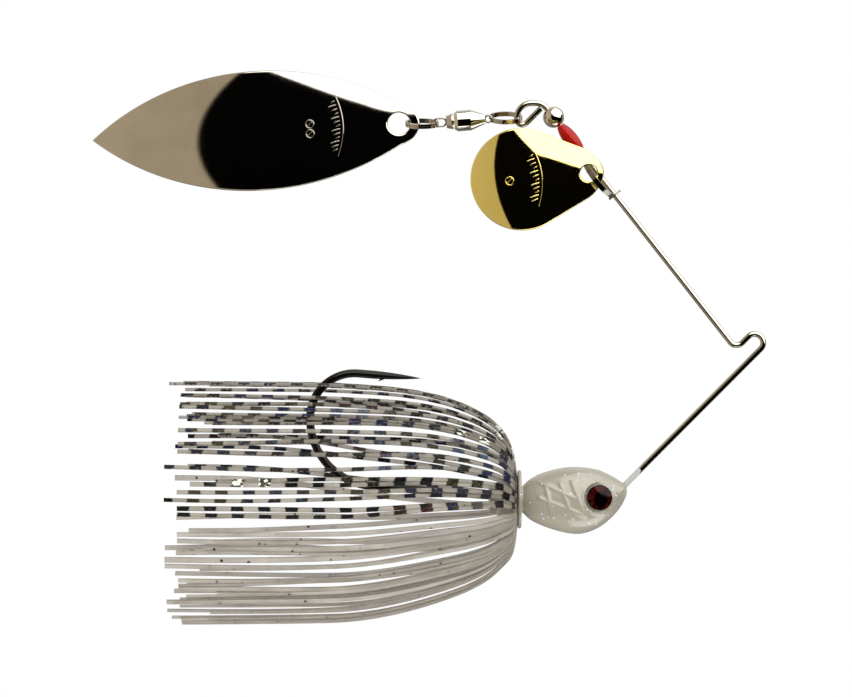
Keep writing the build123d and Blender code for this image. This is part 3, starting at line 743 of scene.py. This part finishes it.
# the long blade: a round nose, then one long arc to the tip
WILLOW_LENGTH = 52.05
willow_nose = (3.0, 3.25)
willow = Blade(
    length=WILLOW_LENGTH, thickness=0.50, hole_at=3.20, hole_r=1.70, hole=(-55.13, 0.0, 33.95),
    turn=182.6, dish=(105.0, 36.0), middle=WILLOW_LENGTH / 2, yaw=-9.0, pitch=0.0)
willow_line = arc((0, 0), (0.75, 1.85), willow_nose, 24)
willow_line += arc(willow_nose, (WILLOW_LENGTH / 2 + 0.2, 9.30), (WILLOW_LENGTH, 0), 150)
willow_line += [(WILLOW_LENGTH - 0.02, 0.0)]
willow.build("willow_blade", mirrored(willow_line), willow_metal)

# the round blade: a round nose, a straight flank and a large round end
COLORADO_LENGTH, ROUND_R = 20.55, 7.9
ROUND_AT = COLORADO_LENGTH - ROUND_R
FLANK_STEPS = 14


def on_round(degrees):
    a = math.radians(degrees)
    return (ROUND_AT + ROUND_R * math.cos(a), ROUND_R * math.sin(a))


colorado_nose = (2.9, 3.98)
shoulder = on_round(117)
colorado = Blade(
    length=COLORADO_LENGTH, thickness=0.42, hole_at=2.30, hole_r=1.30, hole=(-25.82, -3.72, 26.15),
    turn=185.2, dish=(22.0, 24.0), middle=ROUND_AT, yaw=-4.6, pitch=-5.7)
colorado_line = arc((0, 0), (0.80, 2.12), colorado_nose, 20)
colorado_line += [
    tuple(a + (b - a) * i / FLANK_STEPS for a, b in zip(colorado_nose, shoulder)) for i in range(FLANK_STEPS)]
colorado_line += arc(shoulder, on_round(55), (COLORADO_LENGTH, 0), 90) + [(COLORADO_LENGTH, 0.0)]
colorado.build("colorado_blade", mirrored(colorado_line), gold_metal)


def die_mark(at, half, step, lean, bow):
    """A bowed rail with a plain ladder of short bent strokes beside it."""
    def rail(v, shift):
        return (at + shift + bow * (v / half) ** 2, v)

    strokes = [[rail(half * i / 6, -0.95) for i in range(-6, 7)]]
    v = -half * 0.86
    k = 0
    while v < half * 0.86:
        tall = 0.55 + 0.35 * ((k * 5) % 3)
        a, b = rail(v, -0.45), rail(v + lean, -0.45 + tall)
        strokes.append([a, ((a[0] + b[0]) / 2 + 0.12, (a[1] + b[1]) / 2), b])
        v += step
        k += 1
    return strokes


def ring_mark(u, v, r):
    """A small ring with a slanted stroke through it."""
    ring = [(u + r * math.cos(a), v + r * math.sin(a)) for a in (math.radians(30 * i) for i in range(13))]
    return [ring, [(u - r * 0.5, v - r * 0.5), (u, v), (u + r * 0.5, v + r * 0.5)]]


willow_strokes = die_mark(12.6, 4.6, 0.62, 0.3, 1.0)
willow_strokes += ring_mark(16.8, -0.55, 0.62) + ring_mark(16.8, 0.95, 0.62)
willow.stamp("willow_mark", willow_strokes, willow_metal, "willow_blade")
colorado_strokes = die_mark(10.3, 4.3, 0.62, 0.3, 0.9) + ring_mark(14.4, 0.0, 0.62)
colorado.stamp("colorado_mark", colorado_strokes, gold_metal, "colorado_blade")


# --------------------------------------------------------------------- beads
ARM = heading(128.16)
BORE = 0.50


def turned_piece(name, centre, profile, mat, node, around=96):
    """A closed profile of (along, radius) points turned about the arm through centre."""
    side = Vector((0.0, 1.0, 0.0))
    upward = ARM.cross(side).normalized()
    verts = []
    for x, r in profile:
        for a in turns(around):
            verts.append(centre + ARM * x + (side * math.cos(a) + upward * math.sin(a)) * r)
    faces = rings_to_faces(len(profile), around, caps=False)
    last = (len(profile) - 1) * around
    faces += [(last + j, last + (j + 1) % around, (j + 1) % around, j) for j in range(around)]
    piece = add_piece(name, verts, faces, mat, node, (node,))
    piece.data.set_sharp_from_angle(angle=math.radians(40))


def ball_profile(radius, steps=64):
    """Half circle from one end of the bore to the other, closed along the bore."""
    reach = math.asin(math.sqrt(radius ** 2 - BORE ** 2) / radius)
    angles = [reach * (2 * i / steps - 1) for i in range(steps + 1)]
    curve = [(radius * math.sin(a), radius * math.cos(a)) for a in angles]
    end = curve[-1][0] - 0.08
    return curve + [(end, BORE - 0.03), (-end, BORE - 0.03)]


def oval_profile(half, radius, end_r=0.58, steps=48):
    """Full in the middle and narrow at the ends, closed along the bore."""
    curve = []
    for i in range(steps + 1):
        x = half * (2 * i / steps - 1)
        curve.append((x, end_r + (radius - end_r) * (1 - abs(x / half) ** 2.3)))
    return curve + [(half - 0.05, BORE), (-half + 0.05, BORE)]


BALL_AT, OVAL_AT = 44.36, 40.05
ball_centre = Vector((-31.145, 0.0, 34.951))
oval_centre = ball_centre - ARM * (BALL_AT - OVAL_AT)
turned_piece("ball_bead_shell", ball_centre, ball_profile(1.65), nickel, "ball_bead")
turned_piece("oval_bead_body", oval_centre, oval_profile(2.65, 1.15), ruby, "oval_bead")


# ---------------------------------------------------------------------- head
# along the head: place, height of the middle, half height and half width
STATIONS = (
    (-35.90, -24.27, 2.08, 2.08), (-34.75, -24.28, 3.12, 2.85), (-32.80, -24.28, 4.08, 3.55),
    (-29.80, -24.37, 4.93, 4.25), (-27.00, -24.45, 5.12, 4.50), (-24.30, -24.22, 4.47, 4.20),
    (-22.20, -23.88, 3.22, 3.30), (-20.80, -23.50, 1.98, 2.25), (-20.10, -23.08, 1.10, 1.32),
    (-19.82, -22.92, 0.45, 0.60),
)
POCKET_R, POCKET_FLOOR = 2.30, 3.35
# ridges on the cheek: two ends and a height
RIDGES = (
    ((-32.4, -22.3), (-31.5, -26.9), 0.30), ((-30.2, -21.8), (-28.5, -26.9), 0.30),
    ((-28.4, -21.5), (-26.5, -26.6), 0.32), ((-33.3, -21.6), (-27.5, -24.2), 0.28),
    ((-33.4, -24.0), (-26.4, -26.7), 0.28),
)
RIDGE_HALF = 0.30
AROUND_HEAD, AROUND_COLLAR = 280, 96
COLLAR_Z = -24.27
# neck, flange and collar: place along and radius
COLLAR = (
    (-35.0, 2.08), (-36.05, 2.08), (-36.12, 2.14), (-36.15, 2.3), (-36.16, 4.2), (-36.20, 4.40),
    (-36.30, 4.50), (-36.45, 4.53), (-36.60, 4.50), (-36.70, 4.40), (-36.75, 4.2), (-36.76, 2.1),
    (-36.82, 1.95), (-36.95, 1.9), (-40.5, 1.9), (-40.7, 2.0), (-40.85, 2.2), (-41.0, 2.25),
    (-41.12, 2.18), (-41.2, 2.0), (-41.2, 0.4),
)


def near_line(x, z, a, b):
    dx, dz = b[0] - a[0], b[1] - a[1]
    t = max(0.0, min(1.0, ((x - a[0]) * dx + (z - a[1]) * dz) / (dx * dx + dz * dz)))
    return math.hypot(x - a[0] - dx * t, z - a[1] - dz * t)


def ridge_height(x, z):
    return max(height * math.exp(-(near_line(x, z, a, b) / RIDGE_HALF) ** 2) for a, b, height in RIDGES)


def head_point(x, y, z, over):
    """Adds the ridges, the eye pocket with its lip, and the mould seam to a point of the plain head."""
    off = math.hypot(x - EYE_X, z - EYE_Z)
    lip = 0.10 * math.exp(-((off - POCKET_R - 0.28) / 0.22) ** 2)
    reach = abs(y) + (ridge_height(x, z) + lip) * ease(abs(y), 1.0, 2.2)
    if reach > POCKET_FLOOR:
        reach = POCKET_FLOOR + (reach - POCKET_FLOOR) * ease(off, POCKET_R - 0.04, POCKET_R + 0.12)
    seam = 0.045 * math.exp(-(y / 0.14) ** 2)
    return (x, math.copysign(reach, y), z + math.copysign(seam, over))


def head_casting():
    verts = []
    rings = glide(STATIONS, 24)
    for x, middle, half_height, half_width in rings:
        for a in turns(AROUND_HEAD):
            y, z = half_width * math.sin(a), middle + half_height * math.cos(a)
            verts.append(head_point(x, y, z, math.cos(a)))
    faces = rings_to_faces(len(rings), AROUND_HEAD)
    faces += rings_to_faces(len(COLLAR), AROUND_COLLAR, len(verts))
    for x, r in COLLAR:
        for a in turns(AROUND_COLLAR):
            verts.append((x, r * math.sin(a), COLLAR_Z + r * math.cos(a)))
    piece = add_piece("head_casting", verts, faces, pearl, "lure_body", ("head",))
    piece.data.set_sharp_from_angle(angle=math.radians(50))


head_casting()

# --------------------------------------------------------------------- skirt
AXIS_Z = -24.75
LARGEST_R = 18.7
# the bell that the strands follow: place along and radius
BELL = (
    (-37.0, 4.35), (-37.85, 8.55), (-40.5, 11.85), (-44.4, 14.2), (-49.4, 16.0),
    (-55.0, 17.3), (-61.0, 18.1), (-67.0, 18.45), (-79.0, 18.6), (-92.5, LARGEST_R),
)
# a strand's section: shares of the half width and half thickness
SECTION = ((-1.0, 0.0), (-0.8, 1.0), (0.8, 1.0), (1.0, 0.0), (0.8, -1.0), (-0.8, -1.0))
rng = random.Random(41)


def strand_line(pull):
    """Knots from the band out along the bell, drawn in where pull is under 1."""
    slack = 1 - pull
    knots = [(-39.3 - slack * 0.6, 2.50), (-38.0 - slack * 1.6, 2.60), (-37.15 - slack * 2.6, 3.05)]
    for x, r in BELL:
        knots.append((x - slack * 2.2 * math.exp((x + 37) / 8), 2.8 + (r - 2.8) * pull))
    return glide(knots, 7)


class Strands:
    def __init__(self):
        self.verts, self.faces, self.run = [], [], []

    def add(self, angle, twist, pull, tail, who, wide, thick, roll, loose):
        """One strand: it leaves the band, opens with the bell and ends at tail."""
        phase, phase2 = rng.uniform(0, 6.28), rng.uniform(0, 6.28)
        sway, lift = rng.uniform(0.2, 1.1) * (0.3 + 0.7 * loose), rng.uniform(0.05, 0.45) * loose
        path, total, last = [], 0.0, None
        for x, r in strand_line(pull):
            if x < tail:
                break
            if last:
                total += math.hypot(x - last[0], r - last[1])
            last = (x, r)
            grow = ease(total, 3.0, 40.0)
            wave = sway * grow * math.sin(total / 9.0 + phase)
            a = math.radians(angle + twist * ease(total, 2.0, 52.0) + wave)
            rr = min(r - lift * grow * (1 + math.sin(total / 11.0 + phase2)) * 0.5, LARGEST_R)
            # the bell sits a little high behind the head and evens out towards the tail
            raised = AXIS_Z + 0.65 * ease(-x, 37.0, 39.5) * (1 - ease(-x, 46.0, 64.0))
            path.append((Vector((x, -rr * math.cos(a), raised + rr * math.sin(a))), total))
        first = len(self.verts)
        for i, (point, done) in enumerate(path):
            tangent = (path[min(i + 1, len(path) - 1)][0] - path[max(i - 1, 0)][0]).normalized()
            out = Vector((0.0, point.y, point.z - AXIS_Z)).normalized()
            out = (out - tangent * out.dot(tangent)).normalized()
            side = tangent.cross(out)
            turn = math.radians(roll * ease(done, 0.0, 30.0))
            flat = side * math.cos(turn) + out * math.sin(turn)
            thin = out * math.cos(turn) - side * math.sin(turn)
            half = wide * (0.62 + 0.38 * ease(done, 1.0, 9.0)) / 2
            for cx, cy in SECTION:
                self.verts.append(point + flat * half * cx + thin * (thick / 2) * cy)
                self.run.append((done, cx, who))
        self.faces += rings_to_faces(len(path), len(SECTION), first)

    def make(self, name, mat, node):
        piece = add_piece(name, self.verts, self.faces, mat, "lure_body", (node,))
        piece.data.set_sharp_from_angle(angle=math.radians(60))
        layer = piece.data.attributes.new("run", "FLOAT_VECTOR", "POINT")
        for i, value in enumerate(self.run):
            layer.data[i].vector = value


# Where the strands lie round the axis, in degrees above level, and then the crossing
# strands: angle, twist and pull.
LAYERS = (
    ("printed", "near", strand_printed,
     (81, 65, 54, 49.5, 47, 44, 38.5, 32, 26, 18.5, 12.2, 10.6, 6.9, 3.4, -1.5, -4.4),
     ((58, 5, 0.93), (22, 20, 0.8))),
    ("plain", "near", strand_plain,
     (-13.2, -17, -20.5, -23.5, -26.5, -30, -39, -41.5, -44, -46.5, -54.5, -59, -63, -70, -77, -84),
     ((-34, 12, 0.85), (-52, -8, 0.9))),
    ("printed", "far", strand_printed,
     (84, 76, 69, 62, 57, 52, 48, 45, 41, 33, 24),
     ((14, 16, 0.88), (2, 14, 0.8), (38, -9, 0.9))),
    ("plain", "far", strand_plain,
     (-9, -15, -22, -28, -40, -45, -52, -57, -64, -69, -75, -82),
     ((-10, 22, 0.7), (-34, -8, 0.9))),
)
WIDTHS = {"printed": (0.66, 0.80), "plain": (0.74, 0.92)}
CROSSING_PULL = 0.95

number = 0
for kind, label, mat, angles, crossing in LAYERS:
    layer = Strands()
    near = label == "near"
    for angle, twist, pull in [(angle, 0.0, None) for angle in angles] + list(crossing):
        # neighbouring strands share their print in pairs
        who = number // 2 + 0.11 * (number % 2) + 0.05
        number += 1
        twist += rng.uniform(-1.5, 1.5) if near else rng.uniform(-5, 5)
        end = rng.uniform(-91.5, -88.8) if rng.random() < 0.78 else rng.uniform(-88.0, -83.0)
        at_edge = abs(angle) > 68
        pull = pull or (1.0 if at_edge else rng.uniform(0.965, 1.0))
        theta = angle - (0.0 if pull < CROSSING_PULL else twist)
        if not near:
            theta, twist = 180 - theta, -twist
        wide, thick, roll = rng.uniform(*WIDTHS[kind]), rng.uniform(0.30, 0.38), rng.uniform(-24, 24)
        layer.add(theta, twist, pull, end, who, wide, thick, roll, 0.05 if at_edge else 1.0)
    layer.make(f"strands_{kind}_{label}", mat, f"skirt_{kind}_{label}")

# ----------------------------------------------------------------- CAD nodes
# every node gets a material, also those that a piece replaces
NODE_MATERIALS = (
    (wire_mat, "wire_frame"),
    (black_nickel, "hook"),
    (eye_mat, "eye_near", "eye_far"),
    (band_mat, "skirt_band"),
    (nickel, "ball_bead"),
    (ruby, "oval_bead"),
    (clevis_metal, "clevis"),
    (ring_metal, "split_ring_front", "split_ring_rear"),
    (swivel_metal, "swivel_barrel", "swivel_collet"),
    (stainless, "swivel_front_eye", "swivel_rear_eye", "swivel_shaft", "swivel_bearings"),
    (pearl, "head"),
    (gold_metal, "colorado_blade"),
    (willow_metal, "willow_blade"),
    (strand_printed, "skirt_printed_near", "skirt_printed_far"),
    (strand_plain, "skirt_plain_near", "skirt_plain_far"),
)
for mat, *names in NODE_MATERIALS:
    for name in names:
        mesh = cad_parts[name].data
        mesh.materials.clear()
        mesh.materials.append(mat)
        mesh.shade_smooth()
        mesh.set_sharp_from_angle(angle=math.radians(35))
